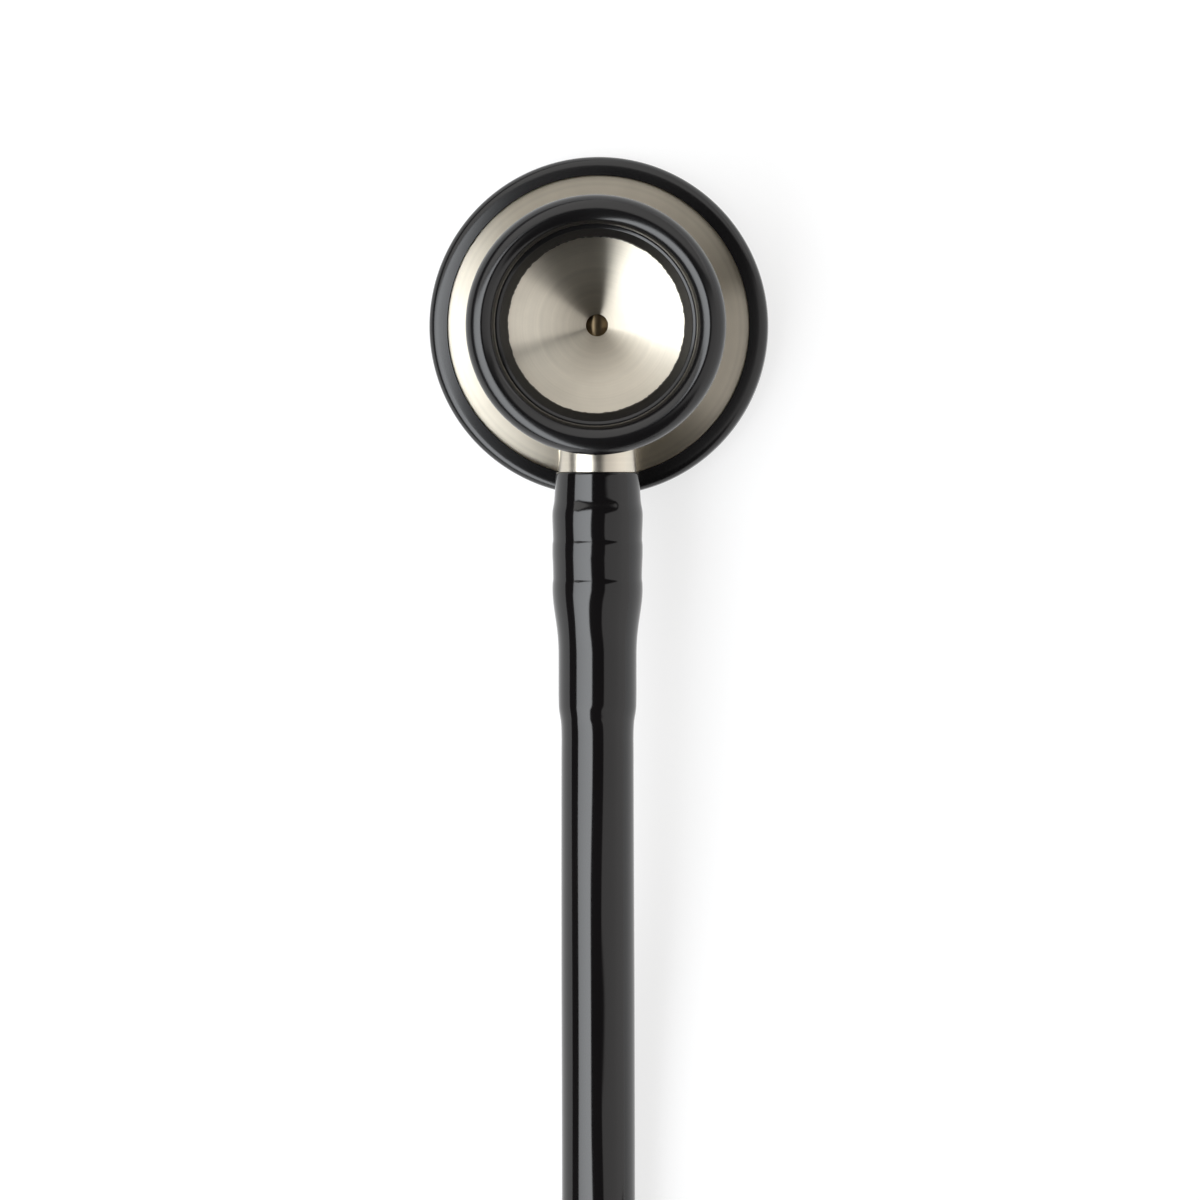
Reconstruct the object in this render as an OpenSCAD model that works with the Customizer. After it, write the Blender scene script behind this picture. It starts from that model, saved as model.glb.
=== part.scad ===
// Dual-head stethoscope, laid on a table: the head stands on its diaphragm rim with the bell
// upwards, the tube leaves it along -Y, lies in one loop and ends in the yoke of the headset.
// Origin: centre of the diaphragm rim's lower face. Z is the head's axis.

/* [Head] */
// Outside diameter of the bead round the diaphragm
rim_d = 46.4; // [45.6:0.2:48]
// Height of that bead
rim_h = 6.2; // [6:0.1:6.8]
// Diameter of the steel flange inside the bead
flange_d = 41.4; // [41:0.1:41.6]
// Outside diameter of the rubber ring on the bell
bell_ring_d = 35.6; // [35:0.2:37]
// Height of the rubber ring's crown above the table
head_h = 28.1; // [27.6:0.1:29]
// Diameter at which the bell's steel cone meets the rubber ring
cone_d = 24; // [23.6:0.1:24.4]
// Slope of the bell's steel cone in degrees
cone_slope = 27; // [26:0.5:28]
// Diameter of the sound hole in the bell
port_d = 3.05; // [2.6:0.05:3.4]
// Diameter of the neck between flange and bell
neck_d = 19; // [18.6:0.2:19.4]

/* [Stem] */
// Height of the stem's axis above the table
stem_z = 13; // [12.8:0.1:13.2]
// Diameter of the valve shaft inside the head
shaft_d = 6.4; // [6.2:0.1:6.6]
// Diameter of the collar between the head and the tube
collar_d = 10.6; // [10:0.1:11]
// Distance from the head's axis to the tube's end
collar_end = 20.1; // [19.6:0.1:21]
// Crest diameter of the barbs
barb_d = 8.9; // [8.6:0.1:9.1]
// Outside diameter of the pipe behind the barbs
pipe_d = 6.4; // [6.2:0.1:6.6]

/* [Tube] */
// Outside diameter of the tube
tube_d = 9.86; // [9.5:0.02:9.9]
// Bore of the tube
tube_bore = 4.8; // [4.4:0.1:5]

/* [Headset] */
// Length of each soft arm from its hinge
arm_len = 95; // [90:1:98]
// Angle of each arm to the headset's middle line
arm_angle = 21; // [20:0.5:22]
// Outside diameter of the metal ear tubes
ear_d = 6.2; // [6:0.1:6.2]
// Bend radius of the long curve
sweep_r = 140; // [138:1:145]
// Angle of the long curve
sweep_a = 31; // [30:0.5:32]
// Bend radius near the ear tip
hook_r = 20; // [19:0.5:22]
// Angle of the bend near the ear tip
hook_a = 75; // [72:1:78]
// Angle by which the hooked end rises
hook_rise = 18; // [14:1:20]

/* [Hidden] */
$fn = 96;

fit = 0.05;          // running clearance on a radius
seat = 0.02;         // gap between pieces pressed or clipped together
lap = 0.05;          // overlap where the runs of one bent tube join
bend_slim = 0.01;    // how much slimmer a bend is than the straight runs that lap onto it

// Head
rim_r = rim_d / 2;
flange_r = flange_d / 2;
neck_r = neck_d / 2;
port_r = port_d / 2;
cone_r = cone_d / 2;
flange_z = 5.7;      // top of the flange at its edge
flange_rise = 3.3;   // how far the flange climbs to the neck
cavity_z = 1.6;      // lower face of the flange
cavity_r = 18.6;
port_z = 17.9;       // bell cone at the sound hole
steel_r = 15.1;      // edge of the steel bell, inside the rubber ring
steel_z = 24.2;
cone_z = port_z + (cone_r - port_r) * tan(cone_slope);
boss_r = 5.3;
boss_end = 15.3;
disc_r = 19.5;
disc_z = 0.7;
disc_t = 0.4;

// Stem and valve
shaft_r = shaft_d / 2;
bore_r = shaft_r + fit;
shaft_back = 6.2;    // the shaft's inner end is on the +Y side of the head's axis
bore_back = 6.5;
side_port_r = 1.4;
air_r = 1.6;
groove_r = 2.45;     // bottom of the O-ring grooves
ring_wire_r = 0.38;
inner_ring_at = -2.4;
outer_ring_at = 8;
clip_at = 12.5;
clip_t = 0.6;
clip_bottom_r = 2.6;
clip_r = 4.1;
pipe_end = 52;
socket_end = 54.5;

// Detent: a ball in a groove round the shaft, with two pits half a turn apart
detent_at = -4.4;
ball_r = 0.9;
ball_x = shaft_r - 0.48 + ball_r;
pit_depth = 0.2;
spring_x0 = ball_x + ball_r + 0.03;
spring_x1 = 6.35;
screw_r = 1.22;
screw_len = 2;

// Headset
lie_z = 5;           // height of the axes of what lies on the table
yoke_at = [-18, -212];
yoke_r = 4.95;
hinge_x = 6.5;
hinge_y = 24;
seat_r = 5.25;       // seat of an arm's round root
slope = 0.54;        // the arms taper, so they lie sloping down
arm_end_r = 4;
ear_r = ear_d / 2;
ear_wall = 0.6;
ear_in = arm_len - 24;
ear_out = arm_len + 24;
leg = 15;
leaf_offset = 3.4;
leaf_t = 0.6;
leaf_w = 2.6;
leaf_reach = 36;
sleeve_len = 8;
sleeve_r = 3.9;
bead_r = 4.4;
tip_cavity_r = 4.5;

// Points that the tube's axis runs through, from the stem's end to the yoke
TUBE_ROUTE = [[0, -54.5, 13], [0, -62, 13], [0, -72, 12.3], [0, -84, 10.6], [0, -97, 8.2],
    [0, -110, 6.1], [0, -123, 5.1], [0, -140, 5], [0, -156, 5], [0, -172, 5], [3, -187, 5],
    [10, -201, 5], [22, -211, 5], [37, -216, 5], [53, -216, 5], [68, -211, 5], [80, -201, 5],
    [87, -187, 5.4], [90, -172, 6.3], [87, -157, 7.6], [80, -143, 9.2], [68, -133, 10.9],
    [53, -128, 12.6], [37, -128, 14], [23, -133, 15], [12, -141, 15.4], [3, -150, 15.4],
    [-5, -159, 14.9], [-11, -168, 13.4], [-15, -178, 11], [-17.5, -188, 8.2], [-18, -197, 6],
    [-18, -206, 5], [-18, -212, 5]];
TUBE_SIDES = 12;

function arc(cx, cy, r, from, to, steps = 8) =
    [for (i = [0:steps]) let (a = from + (to - from) * i / steps) [cx + r * cos(a), cy + r * sin(a)]];

function unit(v) = v / norm(v);

// Direction of a route at point i, from its neighbours
function heading(path, i) = unit(path[min(i + 1, len(path) - 1)] - path[max(i - 1, 0)]);

function ring_points(path, i, r, sides) = let (
    forward = heading(path, i),
    across = unit(cross(forward, [0, 0, 1])),
    up = cross(across, forward)
) [for (k = [0:sides - 1]) let (a = 360 * k / sides) path[i] + r * (cos(a) * across + sin(a) * up)];

// A round rod swept along a route, closed at both ends
module swept(path, r, sides) {
    rings = len(path);
    points = [for (i = [0:rings - 1]) each ring_points(path, i, r, sides)];
    walls = [for (i = [0:rings - 2], k = [0:sides - 1]) let (
        a = i * sides + k,
        b = i * sides + (k + 1) % sides
    ) each [[a, a + sides, b], [b, a + sides, b + sides]]];
    start = [for (k = [0:sides - 1]) k];
    end = [for (k = [sides - 1:-1:0]) (rings - 1) * sides + k];
    polyhedron(points = points, faces = concat(walls, [start, end]), convexity = 6);
}

// Turns a shape made on Z so that it runs along the stem, from the head's axis towards -Y
module on_stem() {
    translate([0, 0, stem_z]) rotate([90, 0, 0]) children();
}

// Turns a shape made on Z so that it runs along the detent's bore, towards +X
module on_detent() {
    translate([0, -detent_at, stem_z]) rotate([0, 90, 0]) children();
}

// ---- Head ----

module chestpiece_body() {
    color("silver") difference() {
        union() {
            rotate_extrude() polygon(concat(
                [[0, 3.4], [cavity_r, 1.9], [cavity_r, cavity_z], [flange_r - seat, cavity_z]],
                arc(flange_r - seat - 0.3, flange_z - 0.3, 0.3, 0, 74, 3),
                [[neck_r + 1.2, flange_z + flange_rise - 0.35]],
                arc(neck_r + 1.2, flange_z + flange_rise + 0.85, 1.2, 254, 180, 5),
                arc(neck_r + 1, 16.3, 1, 180, 130, 4),
                [[steel_r - 0.2, 21.9], [steel_r, 22.3], [steel_r, steel_z - 0.2],
                    [steel_r - 0.2, steel_z], [cone_r, cone_z], [port_r, port_z], [0, port_z]]
            ));
            on_stem() cylinder(h = boss_end - 0.3, r = boss_r);
            on_stem() translate([0, 0, boss_end - 0.3]) cylinder(h = 0.3, r1 = boss_r, r2 = boss_r - 0.3);
        }
        // valve bore, with the snap ring's groove
        on_stem() translate([0, 0, -bore_back]) cylinder(h = boss_end + bore_back + 1, r = bore_r);
        on_stem() translate([0, 0, clip_at - 0.1]) cylinder(h = clip_t + 0.2, r = clip_r + 0.2);
        // sound channels to the bell and to the diaphragm
        translate([0, 0, stem_z]) cylinder(h = port_z - stem_z + 1, r = port_r);
        cylinder(h = stem_z, r = port_r);
        // detent bore, wider where the screw sits
        on_detent() cylinder(h = neck_r, r = ball_r + fit);
        on_detent() translate([0, 0, spring_x1]) cylinder(h = neck_r, r = screw_r + 0.03);
    }
}

module bell_rim() {
    crown_r = 1.9;
    crown_x = bell_ring_d / 2 - crown_r;
    crown_z = head_h - crown_r;
    color([0.1, 0.1, 0.1]) rotate_extrude() polygon(concat(
        [[cone_r, cone_z + 0.04], [cone_r + 0.15, cone_z + 0.5], [cone_r + 0.75, cone_z + 1.7]],
        arc(crown_x, crown_z, crown_r, 176, -8, 16),
        [[bell_ring_d / 2 - 0.25, 23.6], [bell_ring_d / 2 - 0.9, 22]],
        arc(14.9, 21.8, 1.9, -10, -100, 6),
        [[13.6, 19.98], [13.3, 20.3]],
        [[steel_r - 0.16, 21.86], [steel_r + seat, 22.28], [steel_r + seat, steel_z - 0.18],
            [steel_r - 0.18, steel_z + seat]]
    ));
}

module diaphragm_rim() {
    bead = 1.65;
    color([0.1, 0.1, 0.1]) rotate_extrude() polygon(concat(
        [[19.2, 0.2], [19.4, 0]],
        arc(rim_r - 0.9, 0.9, 0.9, -90, 0, 5),
        arc(rim_r - bead, rim_h - bead, bead, 0, 112, 9),
        [[flange_r, flange_z - 0.1], [flange_r, disc_z - 0.1], [19.2, disc_z - 0.1]]
    ));
}

module diaphragm() {
    color([0.75, 0.75, 0.72]) translate([0, 0, disc_z]) cylinder(h = disc_t, r = disc_r);
}

// Flexible ring between the disc and its rim
module diaphragm_surround() {
    color([0.2, 0.2, 0.2]) rotate_extrude() polygon([[disc_r + fit, disc_z - 0.05],
        [flange_r - fit, disc_z - 0.05], [flange_r - fit, cavity_z - fit],
        [flange_r - 0.4, cavity_z - fit], [disc_r + fit, disc_z + disc_t]]);
}

module detent_ball() {
    color("silver") translate([ball_x, -detent_at, stem_z]) sphere(r = ball_r);
}

module detent_spring() {
    wire_r = 0.14;
    coil_r = 0.7;
    turns = 3;
    steps = 12;
    length = spring_x1 - spring_x0 - 2 * wire_r;
    route = [for (i = [0:turns * steps]) let (a = 360 * i / steps)
        [coil_r * sin(a), coil_r * cos(a), wire_r + length * i / (turns * steps)]];
    color("gray") on_detent() translate([0, 0, spring_x0]) swept(route, wire_r, 6);
}

module detent_screw() {
    color("dimgray") on_detent() translate([0, 0, spring_x1]) difference() {
        cylinder(h = screw_len, r = screw_r);
        translate([0, 0, screw_len - 1]) cylinder(h = 1.1, r = 0.72, $fn = 6);
    }
}

// ---- Stem ----

barb_r = barb_d / 2;
pipe_r = pipe_d / 2;
root_r = 3.75;

// Outline of the stem where the tube is stretched over it: radius, distance from the head's axis
GRIP = [[root_r, collar_end], [root_r, 24.4], [barb_r, 25], [barb_r, 25.7], [root_r - 0.05, 29],
    [root_r - 0.05, 29.2], [barb_r, 29.9], [barb_r, 30.6], [root_r - 0.05, 34.1],
    [root_r - 0.05, 34.4], [barb_r, 35.2], [barb_r, 36], [pipe_r, 41.5], [pipe_r, pipe_end - 0.4],
    [pipe_r - 0.4, pipe_end]];

module stem() {
    collar_r = collar_d / 2;
    color("silver") difference() {
        on_stem() rotate_extrude() polygon(concat(
            [[0, -shaft_back], [shaft_r - 0.3, -shaft_back], [shaft_r, 0.3 - shaft_back],
                [shaft_r, boss_end + 0.15], [collar_r - 0.35, boss_end + 0.15],
                [collar_r, boss_end + 0.5], [collar_r, collar_end - 0.9],
                [collar_r - 0.3, collar_end - 0.5], [collar_r - 0.3, collar_end]],
            GRIP, [[0, pipe_end]]
        ));
        // air way, and the side port that opens to the diaphragm
        on_stem() cylinder(h = pipe_end + 1, r = air_r);
        translate([0, 0, stem_z - shaft_r - 1]) cylinder(h = shaft_r + 1, r = side_port_r);
        for (at = [inner_ring_at, outer_ring_at]) groove(at - ring_wire_r, 2 * ring_wire_r, groove_r);
        groove(clip_at, clip_t, clip_bottom_r);
        // detent groove and its two pits
        on_stem() translate([0, 0, detent_at]) rotate_extrude() translate([ball_x, 0])
            circle(r = ball_r + seat, $fn = 48);
        for (side = [-1, 1]) translate([side * (ball_x - pit_depth), -detent_at, stem_z])
            sphere(r = ball_r, $fn = 48);
    }
}

// A square groove cut round the shaft
module groove(at, width, bottom_r) {
    on_stem() translate([0, 0, at]) difference() {
        cylinder(h = width, r = shaft_r + 1);
        translate([0, 0, -1]) cylinder(h = width + 2, r = bottom_r);
    }
}

module stem_clip() {
    gap = 3.4;
    color("gray") on_stem() translate([0, 0, clip_at + 0.02]) difference() {
        cylinder(h = clip_t - 0.04, r = clip_r);
        translate([0, 0, -1]) cylinder(h = clip_t + 2, r = clip_bottom_r + seat);
        translate([0, -gap / 2, -1]) cube([clip_r + 1, gap, clip_t + 2]);
    }
}

module o_ring(at) {
    color([0.15, 0.15, 0.15]) on_stem() translate([0, 0, at]) rotate_extrude()
        translate([bore_r - ring_wire_r - 0.01, 0]) circle(r = ring_wire_r - 0.01, $fn = 24);
}

module inner_o_ring() {
    o_ring(inner_ring_at);
}

module outer_o_ring() {
    o_ring(outer_ring_at);
}

// ---- Tube ----

// The tube's end, stretched over the barbs and the pipe
module tube_socket() {
    outside = concat(
        [[5.3, collar_end], [5.6, collar_end + 0.15], [5.75, collar_end + 0.6], [5.85, 22.5],
            [6, 24.3], [6.2, 25.4], [6.2, 26.4], [6.06, 28], [6.1, 29.3], [6.2, 30.4], [6.18, 31.4],
            [6.02, 33.2], [6.1, 34.6], [6.2, 35.7], [6.2, 36.8], [6, 38.6], [5.68, 40.3],
            [5.4, 42.3], [5.34, 44], [5.34, 51.6], [5.2, 53], [tube_d / 2, socket_end]],
        [[tube_bore / 2, socket_end], [tube_bore / 2, pipe_end]]
    );
    inside = [for (i = [len(GRIP) - 1:-1:0]) GRIP[i]];
    color([0.08, 0.08, 0.08]) on_stem() rotate_extrude() polygon(concat(outside, inside));
}

module tube() {
    color([0.08, 0.08, 0.08]) swept(TUBE_ROUTE, tube_d / 2, TUBE_SIDES);
}

// ---- Headset: its own +Y runs away from the tube ----

module headset() {
    translate([yoke_at.x, yoke_at.y, lie_z]) mirror([0, 1, 0]) children();
}

// One side of the headset: the origin is the arm's hinge, +Y runs along the arm
module on_arm(side) {
    headset() mirror_if(side < 0) translate([hinge_x, hinge_y, 0])
        rotate([0, 0, -arm_angle]) rotate([-slope, 0, 0]) children();
}

module mirror_if(flip) {
    if (flip) mirror([1, 0, 0]) children();
    else children();
}

module along_y(length, r1, r2) {
    rotate([-90, 0, 0]) cylinder(h = length, r1 = r1, r2 = r2);
}

// A round bend that starts along +Y and turns towards -X
module bend(radius, angle, r) {
    translate([-radius, 0, 0]) rotate_extrude(angle = angle) translate([radius, 0])
        circle(r = r - bend_slim, $fn = 48);
}

module after_bend(radius, angle) {
    translate([-radius, 0, 0]) rotate([0, 0, angle]) translate([radius, 0, 0]) children();
}

module yoke() {
    color([0.08, 0.08, 0.08]) headset() difference() {
        hull() {
            rotate([-90, 0, 0]) cylinder(h = 4, r = yoke_r, $fn = 32);
            for (side = [-1, 1]) translate([side * hinge_x, 17, 0]) sphere(r = yoke_r, $fn = 32);
        }
        for (side = [-1, 1]) {
            translate([side * hinge_x, hinge_y, -10]) cylinder(h = 20, r = seat_r);
            translate([0, 11, 0]) rotate([0, 0, -side * atan2(hinge_x, hinge_y - 11)])
                along_y(16, 2.2, 2.2);
        }
        translate([0, -1, 0]) along_y(12.5, tube_bore / 2, tube_bore / 2);
        translate([-15, hinge_y - 3, -10]) cube([30, 10, 20]);
        leaf_space(0.15);
    }
}

// Middle line of the leaf spring's half, from the yoke's web into the arm's wall
function leaf_line() = let (
    along = [sin(arm_angle), cos(arm_angle)],
    inner = [hinge_x, hinge_y] - leaf_offset * [cos(arm_angle), -sin(arm_angle)]
) [[0, 17.2], [0.9, 18], [1.3, 20], inner, inner + leaf_reach * along];

module strip(points, width) {
    for (i = [0:len(points) - 2]) {
        run = points[i + 1] - points[i];
        translate(points[i]) rotate(atan2(run.y, run.x)) translate([0, -width / 2])
            square([norm(run), width]);
        translate(points[i]) circle(d = width, $fn = 24);
    }
}

module leaf_space(gap) {
    linear_extrude(leaf_w + 2 * gap, center = true) for (side = [0, 1]) mirror([side, 0])
        strip(leaf_line(), leaf_t + 2 * gap);
}

module leaf_spring() {
    color("gray") headset() leaf_space(0);
}

module arm(side) {
    color([0.08, 0.08, 0.08]) on_arm(side) difference() {
        union() {
            sphere(r = yoke_r);
            along_y(arm_len - 0.8, yoke_r, arm_end_r);
            translate([0, arm_len - 0.8, 0]) along_y(0.8, arm_end_r, arm_end_r - 0.4);
        }
        translate([0, -yoke_r - 1, 0]) along_y(arm_len, 2.2, 2.2);
        translate([0, ear_in - 0.3, 0]) along_y(arm_len, ear_r + fit, ear_r + fit);
        // slot for the leaf spring in the inner wall
        translate([-leaf_offset - 0.5, -5, -leaf_w / 2 - 0.5]) cube([1, leaf_reach + 6, leaf_w + 1]);
    }
}

module arm_left() {
    arm(-1);
}

module arm_right() {
    arm(1);
}

// The ear tube's whole run: stub in the arm, long curve, hook and leg
module ear_run(r, over) {
    translate([0, ear_in - over, 0]) along_y(ear_out - ear_in + over + lap, r, r);
    translate([0, ear_out, 0]) bend(sweep_r, sweep_a, r);
    at_hook() {
        translate([0, -lap, 0]) along_y(2 * lap, r, r);
        bend(hook_r, hook_a, r);
        after_bend(hook_r, hook_a) translate([0, -lap, 0]) along_y(leg + over + lap, r, r);
    }
}

module at_hook() {
    translate([0, ear_out, 0]) after_bend(sweep_r, sweep_a) rotate([0, hook_rise, 0]) children();
}

// The ear tip's axis: the origin is the ear tube's end, +Z runs out of it
module on_tip(side) {
    on_arm(side) at_hook() after_bend(hook_r, hook_a) translate([0, leg, 0]) rotate([-90, 0, 0]) children();
}

module ear_tube(side) {
    color("silver") on_arm(side) difference() {
        ear_run(ear_r, 0);
        ear_run(ear_r - ear_wall, 1);
    }
}

module ear_tube_left() {
    ear_tube(-1);
}

module ear_tube_right() {
    ear_tube(1);
}

// Sleeve fixed on the ear tube's end, with the bead that the ear tip snaps over
module tip_sleeve(side) {
    inner_r = ear_r + seat;
    color([0.2, 0.2, 0.2]) on_tip(side) rotate_extrude() polygon(concat(
        [[inner_r, -sleeve_len], [sleeve_r, -sleeve_len]],
        arc(bead_r - 0.6, -sleeve_len / 2, 0.6, -90, 90, 6),
        [[sleeve_r, 0.2 - sleeve_len / 2 + 1], [sleeve_r, -0.5], [sleeve_r - 0.5, 0], [inner_r, 0]]
    ));
}

module tip_sleeve_left() {
    tip_sleeve(-1);
}

module tip_sleeve_right() {
    tip_sleeve(1);
}

// Soft mushroom-shaped tip: it sits over the sleeve, with a narrow bore to the ear
module ear_tip(side) {
    base = -sleeve_len + 1.5;
    color([0.12, 0.12, 0.12]) on_tip(side) rotate_extrude() polygon(concat(
        [[tip_cavity_r, base], [5.6, base], [6.1, base + 0.5]],
        arc(0.4, base + 5.6, 6, -20, 78, 14),
        [[1.3, base + 11.1], [1.3, 0.4], [tip_cavity_r, 0.4]]
    ));
}

module ear_tip_left() {
    ear_tip(-1);
}

module ear_tip_right() {
    ear_tip(1);
}

chestpiece_body();
bell_rim();
diaphragm_rim();
diaphragm();
diaphragm_surround();
detent_ball();
detent_spring();
detent_screw();
stem();
stem_clip();
inner_o_ring();
outer_o_ring();
tube_socket();
tube();
yoke();
leaf_spring();
arm_left();
arm_right();
ear_tube_left();
ear_tube_right();
tip_sleeve_left();
tip_sleeve_right();
ear_tip_left();
ear_tip_right();
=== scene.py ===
"""Looks of a dual-head stethoscope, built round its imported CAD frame.

Lengths are in metres. Turned outlines are (radius, height) in millimetres, which lathe()
converts.
"""
import math
import random

import bmesh
import bpy
import numpy as np
from mathutils import Matrix, Vector


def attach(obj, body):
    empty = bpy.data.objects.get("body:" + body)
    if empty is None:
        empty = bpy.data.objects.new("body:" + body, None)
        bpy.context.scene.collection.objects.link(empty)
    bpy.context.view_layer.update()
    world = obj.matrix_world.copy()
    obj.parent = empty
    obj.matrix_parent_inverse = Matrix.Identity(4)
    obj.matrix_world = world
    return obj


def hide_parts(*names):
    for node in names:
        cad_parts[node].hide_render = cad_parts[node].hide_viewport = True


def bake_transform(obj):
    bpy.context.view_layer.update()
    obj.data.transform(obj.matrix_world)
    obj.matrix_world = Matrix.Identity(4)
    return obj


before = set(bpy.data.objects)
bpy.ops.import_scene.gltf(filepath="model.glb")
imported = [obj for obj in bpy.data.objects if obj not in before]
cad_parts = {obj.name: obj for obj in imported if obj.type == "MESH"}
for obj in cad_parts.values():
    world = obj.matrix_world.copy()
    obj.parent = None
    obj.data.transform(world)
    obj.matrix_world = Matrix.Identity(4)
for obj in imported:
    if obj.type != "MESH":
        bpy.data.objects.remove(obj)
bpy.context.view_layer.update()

MM = 0.001
scene = bpy.context.scene

# Sizes that several pieces share, as in the CAD model
STEM_Z = 13 * MM
COLLAR_END = 20.1 * MM
TUBE_R = 4.93 * MM
YOKE_AT = Vector((-18, -212, 5)) * MM
HINGE_X = 6.5
HINGE = Vector((HINGE_X, 24, 0)) * MM    # from the yoke's start, on the headset's own axes
ARM_ANGLE = math.radians(21)
ARM_SLOPE = math.radians(0.54)
ARM_LENGTH = 95 * MM
EAR_R = 3.1 * MM

# Vertices nearer than this are one vertex
WELD = 1e-7
# A cut that runs through a vertex leaves slivers up to about this size
SLIVER = 2e-6
ROUTE_STEPS = 24
HEAD_SIDES = 256


# ---- Camera: a long lens above the head, at a slight tilt ----

SENSOR_WIDTH = 36
VIEW_WIDTH = 164.3 * MM
CAMERA_HEIGHT = 4.0
CAMERA_TILT = math.radians(1.0)
VIEW_CENTRE = Vector((0.2, -37.5, 5)) * MM


def add_camera():
    data = bpy.data.cameras.new("camera")
    data.sensor_width = SENSOR_WIDTH
    data.lens = SENSOR_WIDTH * CAMERA_HEIGHT / VIEW_WIDTH
    data.clip_end = 100
    camera = bpy.data.objects.new("camera", data)
    scene.collection.objects.link(camera)
    back = Vector((math.sin(CAMERA_TILT), 0, math.cos(CAMERA_TILT)))
    camera.location = VIEW_CENTRE + CAMERA_HEIGHT * back
    right = Vector((0, 1, 0)).cross(back).normalized()
    up = back.cross(right)
    camera.rotation_euler = Matrix((right, up, back)).transposed().to_euler()
    scene.camera = camera


add_camera()


# ---- Mesh helpers ----

def rounded(corners, steps=6):
    """Points of an outline whose corners are (x, y) or (x, y, fillet radius), in millimetres."""
    points = []
    count = len(corners)
    for i, corner in enumerate(corners):
        here = np.array(corner[:2], float)
        fillet = corner[2] if len(corner) > 2 else 0
        if not fillet:
            points.append(tuple(here))
            continue
        before = np.array(corners[i - 1][:2], float) - here
        after = np.array(corners[(i + 1) % count][:2], float) - here
        reach = min(np.linalg.norm(before), np.linalg.norm(after)) * 0.49
        before /= np.linalg.norm(before)
        after /= np.linalg.norm(after)
        half = math.acos(max(-1, min(1, float(before @ after)))) / 2
        back = min(fillet / math.tan(half), reach)
        radius = back * math.tan(half)
        middle = (before + after) / np.linalg.norm(before + after)
        centre = here + middle * radius / math.sin(half)
        start, end = here + before * back - centre, here + after * back - centre
        turn = math.atan2(start[0] * end[1] - start[1] * end[0], float(start @ end))
        for k in range(steps + 1):
            a = turn * k / steps
            c, s = math.cos(a), math.sin(a)
            points.append((centre[0] + c * start[0] - s * start[1],
                           centre[1] + s * start[0] + c * start[1]))
    return points


def arc(cx, cy, rx, ry, start, end, steps):
    """Points of an elliptical arc, from one angle to another in degrees."""
    angles = np.radians(np.linspace(start, end, steps + 1))
    return [(cx + rx * math.cos(a), cy + ry * math.sin(a)) for a in angles]


def finish_mesh(name, vertices, faces, sharp=32):
    """A piece from vertices and faces, welded, facing outwards and shaded smooth up to an angle."""
    mesh = bpy.data.meshes.new(name)
    mesh.from_pydata([tuple(v) for v in vertices], [], faces)
    mesh.validate()
    work = bmesh.new()
    work.from_mesh(mesh)
    bmesh.ops.remove_doubles(work, verts=work.verts, dist=WELD)
    bmesh.ops.recalc_face_normals(work, faces=work.faces)
    work.to_mesh(mesh)
    work.free()
    piece = bpy.data.objects.new(name, mesh)
    scene.collection.objects.link(piece)
    shade(piece, sharp)
    return piece


def shade(piece, sharp=32):
    """Smooth shading, with edges sharper than this many degrees left crisp."""
    mesh = piece.data
    mesh.polygons.foreach_set("use_smooth", [True] * len(mesh.polygons))
    mesh.set_sharp_from_angle(angle=math.radians(sharp))


def lathe(name, outline, place=Matrix.Identity(4), segments=192, closed=True, sharp=32):
    """A turned piece: the outline's (radius, height) in millimetres goes round the local Z axis."""
    points = [(r * MM, z * MM) for r, z in outline]
    vertices, faces, rings = [], [], []
    for r, z in points:
        if r < 1e-9:
            rings.append([len(vertices)] * segments)
            vertices.append(Vector((0, 0, z)))
            continue
        rings.append(list(range(len(vertices), len(vertices) + segments)))
        for k in range(segments):
            a = 2 * math.pi * k / segments
            vertices.append(Vector((r * math.cos(a), r * math.sin(a), z)))
    pairs = list(zip(rings, rings[1:]))
    if closed:
        pairs.append((rings[-1], rings[0]))
    for low, high in pairs:
        for k in range(segments):
            n = (k + 1) % segments
            face = []
            for v in (low[k], low[n], high[n], high[k]):
                if v not in face:
                    face.append(v)
            if len(face) > 2:
                faces.append(face)
    return finish_mesh(name, [place @ v for v in vertices], faces, sharp)


def unit(vectors):
    return vectors / np.linalg.norm(vectors, axis=1)[:, None]


def frames_along(line):
    """Unit vectors sideways and upward at each point of a line that never runs upright."""
    tangent = unit(np.gradient(line, axis=0))
    side = unit(np.cross(tangent, (0, 0, 1)))
    return side, np.cross(side, tangent)


def at_distances(line, distances, values=None):
    """What values are at some distances along a line: by default, the line's own points."""
    gone = np.concatenate([[0], np.cumsum(np.linalg.norm(np.diff(line, axis=0), axis=1))])
    values = line if values is None else values
    return np.stack([np.interp(distances, gone, values[:, k]) for k in range(3)], axis=1)


def line_length(line):
    return float(np.linalg.norm(np.diff(line, axis=0), axis=1).sum())


def sweep(name, line, stations, sides=48, sharp=40):
    """A hollow round piece along a line.

    stations: (distance along the line, radius), out along the outside and back along the inside.
    """
    distances = [s for s, _ in stations]
    centre = at_distances(line, distances)
    across, upward = (unit(at_distances(line, distances, v)) for v in frames_along(line))
    vertices, faces = [], []
    for i, (_, radius) in enumerate(stations):
        for k in range(sides):
            a = 2 * math.pi * k / sides
            spoke = math.cos(a) * across[i] + math.sin(a) * upward[i]
            vertices.append(centre[i] + radius * spoke)
    for i in range(len(stations)):
        low, high = i * sides, (i + 1) % len(stations) * sides
        for k in range(sides):
            n = (k + 1) % sides
            faces.append([low + k, low + n, high + n, high + k])
    return finish_mesh(name, vertices, faces, sharp)


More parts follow.
